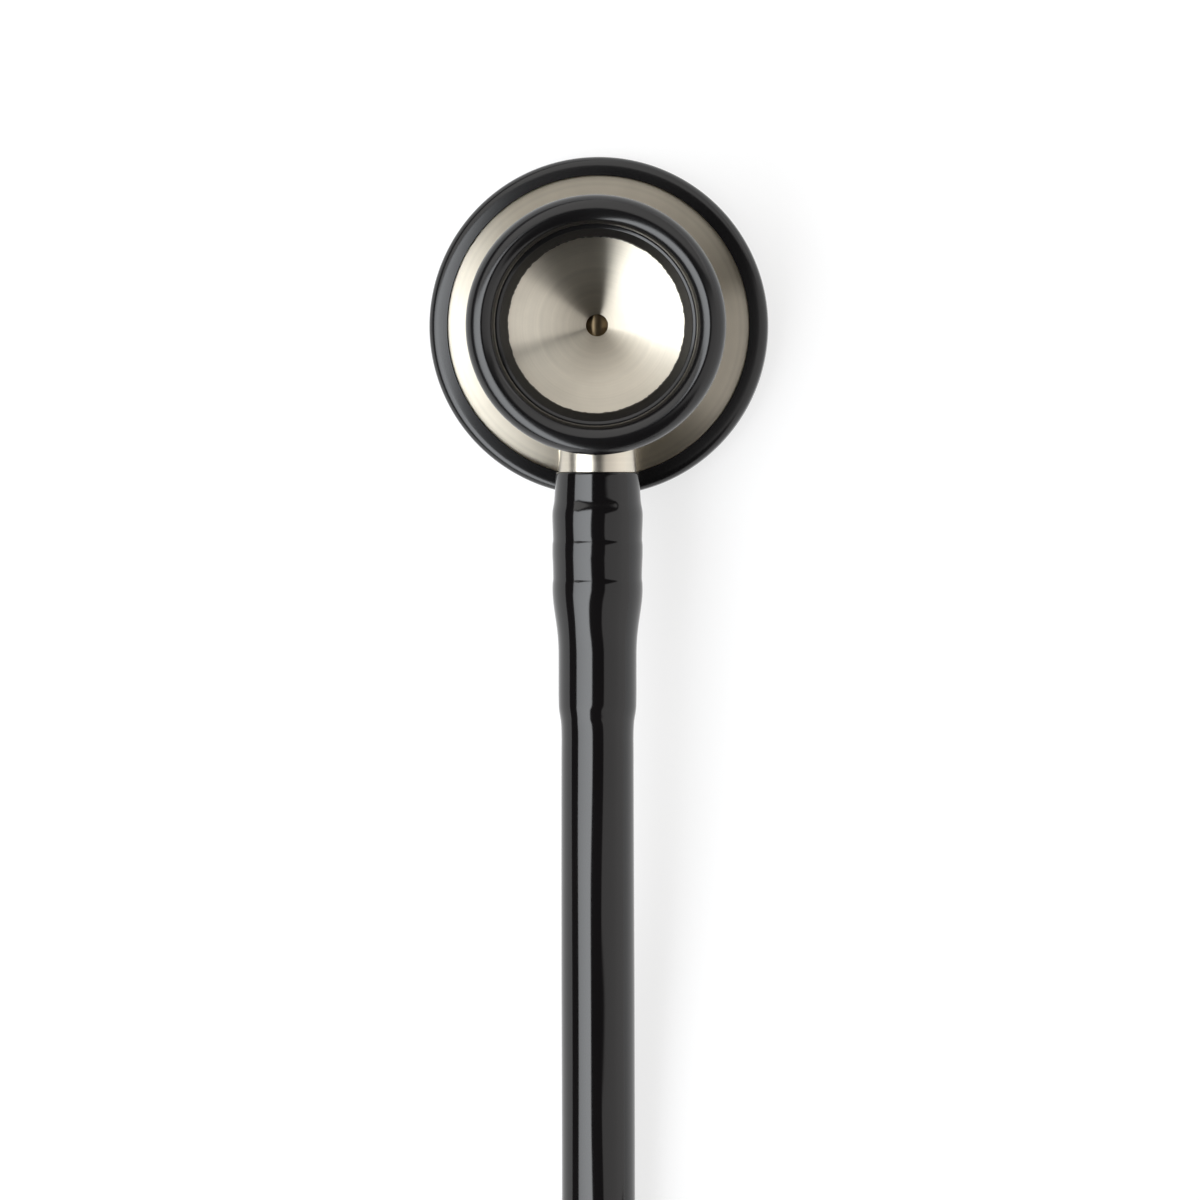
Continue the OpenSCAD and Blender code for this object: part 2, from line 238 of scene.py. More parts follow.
def smooth_line(points, step=1 * MM, blur=9 * MM):
    """An even, gently smoothed line near its route points. Its two ends stay where they are."""
    points = np.array(points, float)
    padded = np.vstack([2 * points[0] - points[1], points, 2 * points[-1] - points[-2]])
    dense = []
    for p0, p1, p2, p3 in zip(padded, padded[1:], padded[2:], padded[3:]):
        for t in np.linspace(0, 1, ROUTE_STEPS, endpoint=False):
            dense.append(0.5 * (2 * p1 + (p2 - p0) * t + (2 * p0 - 5 * p1 + 4 * p2 - p3) * t ** 2
                                + (3 * p1 - p0 - 3 * p2 + p3) * t ** 3))
    dense = np.array(dense + [points[-1]])
    count = round(line_length(dense) / step) + 1
    line = at_distances(dense, np.linspace(0, line_length(dense), count))
    reach = round(blur / step)
    weights = np.hanning(2 * reach + 3)[1:-1]
    weights /= weights.sum()
    head = 2 * line[0] - line[reach:0:-1]
    tail = 2 * line[-1] - line[-2:-reach - 2:-1]
    whole = np.vstack([head, line, tail])
    smooth = np.stack([np.convolve(whole[:, k], weights, "valid") for k in range(3)], axis=1)
    smooth[0], smooth[-1] = line[0], line[-1]
    return smooth


# ---- The tube: 10 cm of it shows, and the rest is laid in one loop ----

# Its middle line, listed as in the CAD model
TUBE_ROUTE = [(0, -.0201, .013), (0, -.032, .013), (0, -.044, .013),
    (0, -.0545, .013), (0, -.062, .013), (0, -.072, .0123), (0, -.084, .0106), (0, -.097, .0082),
    (0, -.110, .0061), (0, -.123, .0051), (0, -.140, .005), (0, -.156, .005), (0, -.172, .005),
    (.003, -.187, .005), (.010, -.201, .005), (.022, -.211, .005), (.037, -.216, .005),
    (.053, -.216, .005), (.068, -.211, .005), (.080, -.201, .005), (.087, -.187, .0054),
    (.090, -.172, .0063), (.087, -.157, .0076), (.080, -.143, .0092), (.068, -.133, .0109),
    (.053, -.128, .0126), (.037, -.128, .014), (.023, -.133, .015), (.012, -.141, .0154),
    (.003, -.150, .0154), (-.005, -.159, .0149), (-.011, -.168, .0134), (-.015, -.178, .011),
    (-.0175, -.188, .0082), (-.018, -.197, .006), (-.018, -.206, .005), (-.018, -.212, .005)]

# The bore over the stem's barbs and pipe, and the outside there. Both are
# (distance from the head's axis, radius), in millimetres
GRIP = [(20.1, 3.8), (24.4, 3.8), (25, 4.46), (25.7, 4.46), (29, 3.72), (29.2, 3.72),
    (29.9, 4.46), (30.6, 4.46), (34.1, 3.72), (34.4, 3.72), (35.2, 4.46), (36, 4.46),
    (41.5, 3.22), (51.6, 3.22), (52, 2.82), (52.1, 2.4)]
SOCKET = [
    # the rounded end and the first barb
    (20.1, 5.6), (20.12, 5.64), (20.2, 5.68), (20.4, 5.7), (21, 5.74), (22, 5.8), (23.2, 5.875),
    (23.8, 5.917), (24.15, 5.957), (24.55, 6.028), (24.95, 6.102), (25.3, 6.153), (25.7, 6.19),
    (26.5, 6.19), (27.6, 6.15), (28.6, 6.11),
    # the second and the third barb
    (29.15, 6.095), (29.4, 6.105), (29.7, 6.148), (29.95, 6.17), (30.3, 6.18), (31.2, 6.18),
    (32.4, 6.13), (33.6, 6.09), (34.5, 6.08), (34.75, 6.09), (35.05, 6.133), (35.3, 6.155),
    (35.6, 6.165), (36.3, 6.17), (37.2, 6.12), (38.4, 5.99), (39.8, 5.79),
    # the pipe and its end
    (41.2, 5.59), (42.6, 5.44), (44, 5.36), (46, 5.34), (48, 5.34), (51, 5.33), (52.4, 5.28),
    (53.2, 5.16), (54, 5.03), (55, 4.96), (56.5, 4.93)]

TUBE_BORE_R = 2.4 * MM
TUBE_STEP = 2 * MM
# How much thicker the tube is on its first straight run, and where along it that starts,
# is full, eases and ends
SWELL = 0.08 * MM
SWELL_START, SWELL_FULL, SWELL_EASES, SWELL_END = 0.03, 0.07, 0.15, 0.2


def eased(profile, step=0.25):
    """A profile with points no further apart than step, on a smooth curve through its own."""
    s, r = (np.array(c, float) for c in zip(*profile))
    out = [(s[0], r[0])]
    slope = np.gradient(r, s)
    for k in range(len(s) - 1):
        gap = s[k + 1] - s[k]
        for t in np.linspace(0, 1, max(1, math.ceil(gap / step)) + 1)[1:]:
            h00, h10 = 2 * t ** 3 - 3 * t ** 2 + 1, t ** 3 - 2 * t ** 2 + t
            h01, h11 = 3 * t ** 2 - 2 * t ** 3, t ** 3 - t ** 2
            bent = (h00 * r[k] + h10 * gap * slope[k]
                    + h01 * r[k + 1] + h11 * gap * slope[k + 1])
            out.append((s[k] + t * gap, bent))
    return out


def ramp(value, start, end):
    """0 at start, 1 at end, and straight between them."""
    return min(max((value - start) / (end - start), 0), 1)


def tube_radius(s):
    """The plain tube's radius at a distance from its start."""
    swell = ramp(s, SWELL_START, SWELL_FULL) * ramp(s, SWELL_END, SWELL_EASES)
    return TUBE_R + SWELL * swell


def add_tube():
    line = smooth_line(TUBE_ROUTE)
    length = line_length(line)
    outside = [(s * MM - COLLAR_END, r * MM) for s, r in eased(SOCKET)]
    inside = [(s * MM - COLLAR_END, r * MM) for s, r in GRIP]
    plain = [*np.arange(outside[-1][0] + TUBE_STEP, length, TUBE_STEP), length]
    stations = (outside + [(s, tube_radius(s)) for s in plain]
                + [(s, TUBE_BORE_R) for s in reversed(plain)] + inside[::-1])
    tube = sweep("tube_run", line, stations, sides=64)
    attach(tube, "tubing")
    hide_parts("tube", "tube_socket")
    return tube


tube = add_tube()


# ---- Materials ----

def new_material(name):
    material = bpy.data.materials.new(name)
    material.use_nodes = True
    nodes, links = material.node_tree.nodes, material.node_tree.links
    return material, nodes, links, nodes["Principled BSDF"]


def noise(nodes, links, vector, scale, detail=3):
    node = nodes.new("ShaderNodeTexNoise")
    node.inputs["Scale"].default_value = scale
    node.inputs["Detail"].default_value = detail
    links.new(vector, node.inputs["Vector"])
    return node.outputs["Fac"]


def spread(nodes, links, value, low, high, at_low=0, at_high=1):
    """Maps a value to low..high as it goes from at_low to at_high."""
    node = nodes.new("ShaderNodeMapRange")
    node.inputs["From Min"].default_value = at_low
    node.inputs["From Max"].default_value = at_high
    node.inputs["To Min"].default_value = low
    node.inputs["To Max"].default_value = high
    links.new(value, node.inputs["Value"])
    return node.outputs["Result"]


def multiply_add(nodes, links, value, factor, added):
    node = nodes.new("ShaderNodeMath")
    node.operation = "MULTIPLY_ADD"
    links.new(value, node.inputs[0])
    node.inputs[1].default_value = factor
    links.new(added, node.inputs[2])
    return node.outputs[0]


def bump(nodes, links, bsdf, height, strength, distance):
    node = nodes.new("ShaderNodeBump")
    node.inputs["Strength"].default_value = strength
    node.inputs["Distance"].default_value = distance
    links.new(height, node.inputs["Height"])
    links.new(node.outputs["Normal"], bsdf.inputs["Normal"])


def scaled(colour, factor):
    return tuple(factor * c for c in colour)


def colour_between(nodes, links, bsdf, factor, dark, light):
    node = nodes.new("ShaderNodeMix")
    node.data_type = "RGBA"
    node.inputs["A"].default_value = (*dark, 1)
    node.inputs["B"].default_value = (*light, 1)
    links.new(factor, node.inputs["Factor"])
    links.new(node.outputs["Result"], bsdf.inputs["Base Color"])


def object_coordinates(nodes):
    return nodes.new("ShaderNodeTexCoord").outputs["Object"]


STEEL_DARK = (0.545, 0.505, 0.43)
STEEL_LIGHT = (0.74, 0.685, 0.58)
# Noise scales of the tool's rings and of the cloudiness across them
RINGS_FINE, RINGS_BROAD, STEEL_CLOUD = 4200, 1400, 160


def ring_distance(nodes, links, place, axis):
    """What the tool's rings follow: the radius round Z, or the length along Y."""
    if axis == "Y":
        split = nodes.new("ShaderNodeSeparateXYZ")
        links.new(place, split.inputs[0])
        return split.outputs["Y"]
    flat = nodes.new("ShaderNodeVectorMath")
    flat.operation = "MULTIPLY"
    flat.inputs[1].default_value = (1, 1, 0)
    links.new(place, flat.inputs[0])
    length = nodes.new("ShaderNodeVectorMath")
    length.operation = "LENGTH"
    links.new(flat.outputs["Vector"], length.inputs[0])
    return length.outputs["Value"]


def turned_steel(name, axis, roughness, anisotropy, painted_shade):
    """Steel with the fine rings of a lathe tool round the given axis.

    The last argument is painted shade in the base colour: where on the radius (or length) the steel
    is clear, where the painted shade is full, and the shade's tint.
    """
    material, nodes, links, bsdf = new_material(name)
    place = object_coordinates(nodes)
    ring_at = ring_distance(nodes, links, place, axis)
    join = nodes.new("ShaderNodeCombineXYZ")
    links.new(ring_at, join.inputs["X"])
    rings = noise(nodes, links, join.outputs[0], RINGS_FINE, 2)
    broad = noise(nodes, links, join.outputs[0], RINGS_BROAD, 3)
    cloud = noise(nodes, links, place, STEEL_CLOUD, 4)
    bump(nodes, links, bsdf, multiply_add(nodes, links, broad, 0.8, rings), 0.3, 0.000012)
    patches = multiply_add(nodes, links, broad, 1.1, spread(nodes, links, cloud, -0.55, 0.45))
    colour_between(nodes, links, bsdf, patches, STEEL_DARK, STEEL_LIGHT)
    links.new(spread(nodes, links, broad, roughness * 0.8, roughness * 1.2),
              bsdf.inputs["Roughness"])
    bsdf.inputs["Metallic"].default_value = 1
    bsdf.inputs["Anisotropic"].default_value = anisotropy
    bsdf.inputs["Anisotropic Rotation"].default_value = 0.25
    # painted shade: darker near the sound hole, and dark brown where the stem runs inside the head
    clear, full_shade, shade_tint = painted_shade
    painted_shade_mix = nodes.new("ShaderNodeMix")
    painted_shade_mix.data_type = "RGBA"
    painted_shade_mix.blend_type = "MULTIPLY"
    painted_shade_mix.inputs["B"].default_value = (*shade_tint, 1)
    links.new(spread(nodes, links, ring_at, 0, 1, clear, full_shade), painted_shade_mix.inputs["Factor"])
    links.new(bsdf.inputs["Base Color"].links[0].from_socket, painted_shade_mix.inputs["A"])
    links.new(painted_shade_mix.outputs["Result"], bsdf.inputs["Base Color"])
    tangent = nodes.new("ShaderNodeTangent")
    tangent.direction_type = "RADIAL"
    tangent.axis = axis
    links.new(tangent.outputs[0], bsdf.inputs["Tangent"])
    return material


def black_gloss(name, base, roughness, grain, grain_size):
    """Black PVC or rubber: a faint colour change, uneven gloss and a fine surface grain."""
    material, nodes, links, bsdf = new_material(name)
    place = object_coordinates(nodes)
    cloud = noise(nodes, links, place, 90, 4)
    fine_grain = noise(nodes, links, place, 1 / grain_size, 3)
    colour_between(nodes, links, bsdf, cloud, scaled(base, 0.8), scaled(base, 1.25))
    links.new(spread(nodes, links, cloud, roughness * 0.8, roughness * 1.25),
              bsdf.inputs["Roughness"])
    bump(nodes, links, bsdf, fine_grain, grain, 0.00002)
    bsdf.inputs["IOR"].default_value = 1.5
    return material


def satin_metal(name, base, roughness):
    """Plain steel or plated brass: clouded gloss and faint pits."""
    material, nodes, links, bsdf = new_material(name)
    place = object_coordinates(nodes)
    cloud = noise(nodes, links, place, 260, 5)
    colour_between(nodes, links, bsdf, cloud, scaled(base, 0.92), base)
    links.new(spread(nodes, links, cloud, roughness * 0.7, roughness * 1.4),
              bsdf.inputs["Roughness"])
    bump(nodes, links, bsdf, noise(nodes, links, place, 2200, 3), 0.05, 0.00001)
    bsdf.inputs["Metallic"].default_value = 1
    return material


def matt_polymer(name, base, roughness, grain, grain_size, sheen=0.0):
    """Soft rubber or moulded plastic with a fine even grain."""
    material, nodes, links, bsdf = new_material(name)
    place = object_coordinates(nodes)
    cloud = noise(nodes, links, place, 180, 4)
    colour_between(nodes, links, bsdf, cloud, scaled(base, 0.85), scaled(base, 1.15))
    links.new(spread(nodes, links, cloud, roughness * 0.9, min(1, roughness * 1.15)),
              bsdf.inputs["Roughness"])
    bump(nodes, links, bsdf, noise(nodes, links, place, 1 / grain_size, 4), grain, 0.00004)
    bsdf.inputs["Sheen Weight"].default_value = sheen
    return material


# painted shade in the base colour: the body's steel near the sound hole, the stem's where it runs
# inside the head
steel = turned_steel("turned_steel", "Z", 0.33, 1.0, (0.0085, 0.002, (0.66, 0.65, 0.64)))
stem_steel = turned_steel("turned_stem", "Y", 0.3, 0.3, (-0.0158, -0.0154, (0.2, 0.16, 0.11)))
pvc = black_gloss("tube_pvc", (0.0036, 0.0031, 0.0033), 0.085, 0.03, 0.0016)
ring_rubber = black_gloss("ring_rubber", (0.0034, 0.0031, 0.0034), 0.2, 0.06, 0.0008)
plated = satin_metal("plated_tube", (0.52, 0.52, 0.515), 0.16)
spring_steel = satin_metal("spring_steel", (0.46, 0.455, 0.44), 0.3)
disc_plastic = matt_polymer("disc_plastic", (0.56, 0.56, 0.53), 0.42, 0.3, 0.0002)
seal_rubber = matt_polymer("seal_rubber", (0.02, 0.02, 0.02), 0.6, 0.3, 0.0002)
sleeve_plastic = matt_polymer("sleeve_plastic", (0.03, 0.03, 0.03), 0.45, 0.2, 0.0003)
tip_rubber = matt_polymer("tip_rubber", (0.018, 0.018, 0.019), 0.55, 0.3, 0.0003, sheen=0.05)


def dress(piece, material):
    piece.data.materials.clear()
    piece.data.materials.append(material)


dress(tube, pvc)


# ---- Head ----

# The bell's cone at its edge and at the sound hole, in millimetres
CONE_R, CONE_Z = 12.0, 23.237
PORT_R, PORT_Z = 1.525, 17.9
SHAFT_R, COLLAR_R = 3.2, 5.3
# The click stop's ball: its radius, how deep it sits in the shaft, and its place along Y
BALL_R, BALL_SUNK, DETENT_Y = 0.9, 0.48, 4.4

# The stem's own axes: +Z runs out along the tube
ON_STEM = Matrix.Translation((0, 0, STEM_Z)) @ Matrix.Rotation(math.pi / 2, 4, "X")


def cut(piece, tool, operation="DIFFERENCE"):
    """Cuts a tool out of a piece, or joins it on, and uses the tool up."""
    modifier = piece.modifiers.new("cut", "BOOLEAN")
    modifier.object = tool
    modifier.operation = operation
    modifier.solver = "EXACT"
    bpy.context.view_layer.update()
    graph = bpy.context.evaluated_depsgraph_get()
    mesh = bpy.data.meshes.new_from_object(piece.evaluated_get(graph))
    piece.modifiers.clear()
    piece.data = mesh
    bpy.data.objects.remove(tool)
    work = bmesh.new()
    work.from_mesh(mesh)
    bmesh.ops.remove_doubles(work, verts=work.verts, dist=SLIVER)
    bmesh.ops.dissolve_degenerate(work, edges=work.edges, dist=SLIVER)
    work.to_mesh(mesh)
    work.free()


def add_body():
    flange = [(PORT_R, 3.2), (18.6, 1.9), (18.6, 1.6, 0.05), (20.68, 1.6, 0.1),
        (20.68, 5.78, 0.12), (17.2, 5.97, 3), (13.5, 7.4, 4)]
    neck = [(9.5, 9.05, 1.2), (9.5, 16.6, 1.0)]
    bell = [(14.92, 21.86, 0.2), (15.1, 22.3, 0.1), (15.1, 24.2, 0.2), (CONE_R, CONE_Z),
        (PORT_R, PORT_Z, 0.02)]
    body = lathe("head_body", rounded(flange + neck + bell), segments=HEAD_SIDES)
    boss = rounded([(0, 8), (5.3, 8), (5.3, 15.3, 0.25), (0, 15.3)])
    bore = [(0, -6.5), (3.25, -6.5), (3.25, 16), (0, 16)]
    detent_bore = [(0, 4), (1.25, 4), (1.25, 12), (0, 12)]
    at_detent = Matrix.Translation((0, DETENT_Y * MM, STEM_Z))
    on_detent = at_detent @ Matrix.Rotation(math.pi / 2, 4, "Y")
    cut(body, lathe("boss", boss, ON_STEM, 96, closed=False), "UNION")
    cut(body, lathe("bore", bore, ON_STEM, 96, closed=False))
    cut(body, lathe("detent_bore", detent_bore, on_detent, 48, closed=False))
    shade(body, 32)
    dress(body, steel)
    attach(body, "chestpiece")
    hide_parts("chestpiece_body")


def add_bell_ring():
    inner_wall = [(CONE_R, CONE_Z + 0.04), (12.12, 23.6, 0.4), (12.75, 24.4, 3),
        (13.2, 24.95, 0.4), (13.55, 25.12, 0.1)]
    crest = arc(15.92, 25.92, 2.2, 2.2, 202, 98, 24) + arc(15.366, 25.72, 2.4, 2.4, 82, -14, 26)
    underside = [(17.55, 23.6), (16.9, 22, 0.4), (15.6, 20.4, 0.6), (13.6, 19.98, 0.15),
        (13.3, 20.3, 0.1)]
    seat = [(14.94, 21.86), (15.12, 22.28), (15.12, 24.02), (14.92, 24.22)]
    outline = rounded(inner_wall + crest + underside + seat)
    ring = lathe("bell_ring", outline, segments=HEAD_SIDES, sharp=50)
    # the moulded lip on the cone's edge is a little ragged
    dice = random.Random(5)
    ragged = [dice.uniform(-0.07, 0.05) * MM for _ in range(HEAD_SIDES)]
    for vertex in ring.data.vertices:
        radius = math.hypot(vertex.co.x, vertex.co.y)
        if radius < (CONE_R + 0.02) * MM:
            turn = math.degrees(math.atan2(vertex.co.y, vertex.co.x)) / 360
            step = round(turn * HEAD_SIDES) % HEAD_SIDES
            grow = 1 + ragged[step] / radius
            vertex.co.x *= grow
            vertex.co.y *= grow
    dress(ring, ring_rubber)
    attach(ring, "chestpiece")
    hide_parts("bell_rim")


def add_diaphragm_ring():
    foot = [(19.2, 0.6), (19.2, 0.2), (19.45, 0, 0.1), (22.0, 0)]
    rim = arc(22.1, 1.1, 1.1, 1.1, -80, 0, 8) + arc(21.73, 4.545, 1.45, 1.45, 0, 80, 18)
    top = [(21.7, 6.02), (21.3, 6.081), (21, 6.124), (20.73, 6.16)]
    seat = [(20.72, 5.9), (20.7, 5.6), (20.7, 0.6)]
    outline = rounded(foot + rim + top + seat)
    ring = lathe("diaphragm_ring", outline, segments=HEAD_SIDES, sharp=50)
    dress(ring, ring_rubber)
    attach(ring, "chestpiece")
    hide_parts("diaphragm_rim")


def add_stem():
    air_r, pipe_end, gap = 1.6, 52, 0.04
    outline = rounded([(air_r, -6.2), (2.9, -6.2), (SHAFT_R, -5.9), (SHAFT_R, 15.45),
        (COLLAR_R - 0.35, 15.45, 0.1), (COLLAR_R, 15.8, 0.2), (COLLAR_R, 20.05, 0.05),
        (3.75, 20.1)])
    # the barbs and the pipe fill the tube's bore but for a gap
    outline += [(r - gap, s) for s, r in GRIP[1:-1]] + [(air_r, pipe_end)]
    stem = lathe("valve_stem", outline, ON_STEM, 128)
    dress(stem, stem_steel)
    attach(stem, "tubing")
    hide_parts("stem")


def add_detent_ball():
    centre = Matrix.Translation(((SHAFT_R - BALL_SUNK + BALL_R) * MM, DETENT_Y * MM, STEM_Z))
    outline = arc(0, 0, BALL_R, BALL_R, -90, 90, 24)
    ball = lathe("click_ball", outline, centre, 48, closed=False)
    dress(ball, spring_steel)
    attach(ball, "chestpiece")
    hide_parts("detent_ball")


add_body()
add_detent_ball()
add_bell_ring()
add_diaphragm_ring()
add_stem()


# ---- Headset, out of the picture: yoke, spring arms, ear tubes and tips ----

def arm_frame(side):
    """The CAD model's axes at the root of an arm: +Y along the arm."""
    return (Matrix.Translation(YOKE_AT) @ Matrix.Diagonal((side, -1, 1, 1))
            @ Matrix.Translation(HINGE) @ Matrix.Rotation(-ARM_ANGLE, 4, "Z")
            @ Matrix.Rotation(-ARM_SLOPE, 4, "X"))


ALONG_ARM = Matrix.Rotation(-math.pi / 2, 4, "X")    # a turned piece's axis laid along +Y
SIDES = {"left": -1, "right": 1}
# The yoke's stem and legs, in millimetres: where the legs part, and how far on they reach
YOKE_R, LEG_R, ROOT_R = 4.98, 4.9, 4.85
CROTCH, LEG_REACH = 6.5, 17
YOKE_VOXEL = 0.35 * MM
# The arms, in millimetres: radii at the root, the open end and the ear tube's seat, where
# that seat starts, and the length that the taper takes, with its points this far apart
ARM_ROOT_R, ARM_END_R, ARM_BORE_R, ARM_SEAT_FROM = 4.95, 4.0, 3.15, 70.7
ARM_TAPER, ARM_STEP = 94.2, 3


def add_yoke():
    on_yoke = Matrix.Translation(YOKE_AT) @ Matrix.Diagonal((1, -1, 1, 1))
    stem = [(0, 0), (YOKE_R, 0), (YOKE_R, 13), (0, 13)]
    leg = [(0, 0), (LEG_R, 0), (LEG_R, 13), (ROOT_R, LEG_REACH), (0, LEG_REACH)]
    root = [(0, 0)] + arc(0, 0, ROOT_R, ROOT_R, -89, 89, 16) + [(0, 5)]
    pieces = [lathe("moulded_yoke", stem, on_yoke @ ALONG_ARM, 64, closed=False)]
    for side in SIDES.values():
        lean = Matrix.Rotation(-side * math.atan2(HINGE_X, LEG_REACH), 4, "Z")
        leg_at = on_yoke @ Matrix.Translation((0, CROTCH * MM, 0)) @ lean @ ALONG_ARM
        root_at = arm_frame(side) @ Matrix.Translation((0, -1 * MM, 0)) @ ALONG_ARM
        pieces.append(lathe("leg", leg, leg_at, 48, closed=False))
        pieces.append(lathe("root", root, root_at, 48, closed=False))
    yoke = pieces[0]
    for piece in pieces[1:]:
        cut(yoke, piece, "UNION")
    remesh = yoke.modifiers.new("remesh", "REMESH")
    remesh.mode = "VOXEL"
    remesh.voxel_size = YOKE_VOXEL
    smooth = yoke.modifiers.new("smooth", "SMOOTH")
    smooth.iterations = 14
    smooth.factor = 0.5
    dress(yoke, pvc)
    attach(yoke, "tubing")
    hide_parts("yoke")


def add_arm(name, side):
    body = "arm_" + name
    root = arm_frame(side)
    air_r, end_at = 2.2, 95
    taper = ARM_ROOT_R - ARM_END_R
    outline = ([(air_r, -5), (4.7, -5), (4.9, -3), (ARM_ROOT_R, 0)]
        + [(ARM_ROOT_R - taper * t / ARM_TAPER, t) for t in np.arange(ARM_STEP, ARM_TAPER, ARM_STEP)]
        + [(ARM_END_R, end_at, 0.35), (ARM_BORE_R, end_at, 0.2), (ARM_BORE_R, ARM_SEAT_FROM),
            (air_r, ARM_SEAT_FROM)])
    arm = lathe("spring_" + body, rounded(outline), root @ ALONG_ARM, 64)
    dress(arm, pvc)
    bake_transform(arm)
    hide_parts(body)
    leaf = add_leaf(name, side)
    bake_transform(leaf)


def add_leaf(name, side):
    """Half of the leaf spring: a steel strip from inside the yoke along one arm."""
    half_width, half_thickness, step = 1.3 * MM, 0.28 * MM, 3 * MM
    along = Vector((math.sin(ARM_ANGLE), math.cos(ARM_ANGLE), 0))
    inner = HINGE - 3.4 * MM * Vector((along.y, -along.x, 0))
    line = [Vector(p) * MM for p in ((0, 17.2, 0), (0.9, 18, 0), (1.3, 20, 0))] + [inner]
    line += [inner + along * step * k for k in range(1, 13)]
    turn = Matrix.Translation(YOKE_AT) @ Matrix.Diagonal((side, -1, 1, 1))
    vertices, faces = [], []
    for i, point in enumerate(line):
        ahead = (line[min(i + 1, len(line) - 1)] - line[max(i - 1, 0)]).normalized()
        across = Vector((ahead.y, -ahead.x, 0)) * half_thickness
        for a, b in ((-1, -1), (1, -1), (1, 1), (-1, 1)):
            vertices.append(turn @ (point + a * across + Vector((0, 0, b * half_width))))
    for i in range(len(line) - 1):
        for k in range(4):
            n = (k + 1) % 4
            faces.append([4 * i + k, 4 * i + n, 4 * i + 4 + n, 4 * i + 4 + k])
    faces += [[0, 1, 2, 3], [len(vertices) - 4 + k for k in range(4)]]
    leaf = finish_mesh("leaf_" + name, vertices, faces, 30)
    dress(leaf, spring_steel)
    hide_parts("leaf_spring")
    return leaf


def walk(frame_at, radius, angle, steps):
    """Points round a bend towards -X, and the axes at its end."""
    turn = (Matrix.Translation((-radius, 0, 0)) @ Matrix.Rotation(angle / steps, 4, "Z")
            @ Matrix.Translation((radius, 0, 0)))
    points = []
    for _ in range(steps):
        frame_at = frame_at @ turn
        points.append(frame_at.translation.copy())
    return points, frame_at


# The ear tube: how deep it sits in the arm, its straight run, its two bends and its end
EAR_SEATED, EAR_STRAIGHT, EAR_END = 24 * MM, 48 * MM, 15 * MM
SWEEP_R, SWEEP_ANGLE = 140 * MM, math.radians(31)
HOOK_R, HOOK_ANGLE, HOOK_RISE = 20 * MM, math.radians(75), math.radians(18)
BEND_STEPS = 40
EAR_WALL, EAR_EDGE = 0.6 * MM, 0.25 * MM


def add_ear_tube(name, side):
    body = "ear_tube_" + name
    at = arm_frame(side) @ Matrix.Translation((0, ARM_LENGTH - EAR_SEATED, 0))
    points = [at.translation.copy()]
    at = at @ Matrix.Translation((0, EAR_STRAIGHT, 0))
    points.append(at.translation.copy())
    bend, at = walk(at, SWEEP_R, SWEEP_ANGLE, BEND_STEPS)
    points += bend
    at = at @ Matrix.Rotation(HOOK_RISE, 4, "Y")
    bend, at = walk(at, HOOK_R, HOOK_ANGLE, BEND_STEPS)
    points += bend
    at = at @ Matrix.Translation((0, EAR_END, 0))
    points.append(at.translation.copy())
    line = np.array([tuple(p) for p in points])
    length = line_length(line)
    stops = np.concatenate([
        [EAR_EDGE, 2 * EAR_EDGE], np.arange(3 * MM, EAR_STRAIGHT, 3 * MM),
        np.arange(EAR_STRAIGHT, length - 0.6 * MM, 1.2 * MM), [length - 0.3 * MM]])
    edge_r = EAR_R - EAR_EDGE
    stations = [(0, edge_r)] + [(s, EAR_R) for s in stops] + [(length, edge_r)]
    stations += [(s, EAR_R - EAR_WALL) for s in [length, *stops[::-1], 0]]
    tube = sweep("headset_" + body, line, stations, sides=48)
    dress(tube, plated)
    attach(tube, body)
    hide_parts(body)
    add_tip(name, body, at @ ALONG_ARM)


def add_tip(name, ear_body, at):
    """A sleeve on the ear tube's end, and the soft tip that snaps over the sleeve's ring."""
    inner, sleeve_r = EAR_R / MM + 0.02, 3.9
    snap_ring = arc(3.8, -4, 0.6, 0.6, -80, 80, 10)
    sleeve = lathe("sleeve_" + name, rounded([(inner, -8), (sleeve_r, -8, 0.2),
        (sleeve_r, -4.8, 0.2), *snap_ring, (sleeve_r, -3.2, 0.2), (sleeve_r, -0.5, 0.2),
        (3.4, 0, 0.1), (inner, 0)]), at, 64)
    dress(sleeve, sleeve_plastic)
    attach(sleeve, ear_body)
    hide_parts("tip_sleeve_" + name)
    base = -6.5
    bulb = arc(0.4, base + 5.6, 6, 6, -15, 76, 26)
    tip = lathe("soft_tip_" + name, rounded([(4.5, base), (5.6, base, 0.3), (6.0, base + 0.8, 0.3),
        (6.1, base + 2.2, 1), (6.1, base + 3.6), *bulb, (1.3, base + 11.4, 0.25), (1.3, 0.4),
        (4.5, 0.4, 0.4)]), at, 96)
    dress(tip, tip_rubber)
    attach(tip, "ear_tip_" + name)
    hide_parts("ear_tip_" + name)


add_yoke()
for name, side in SIDES.items():
    add_arm(name, side)
    add_ear_tube(name, side)


# ---- CAD pieces that stay: the disc and the small inner parts ----

for material, nodes in (
        (disc_plastic, ("diaphragm",)),
        (seal_rubber, ("diaphragm_surround", "inner_o_ring", "outer_o_ring")),
        (spring_steel, ("stem_clip", "detent_spring", "detent_screw"))):
    for node in nodes:
        piece = bpy.data.objects[node]
        shade(piece, 30)
        dress(piece, material)


# ---- Floor and light ----

FLOOR_HALF = 8
FLOOR_GAP = 0.0001       # keeps the floor clear of what rests on it
FLOOR_GREY, FLOOR_GLOW = 0.27, 0.72


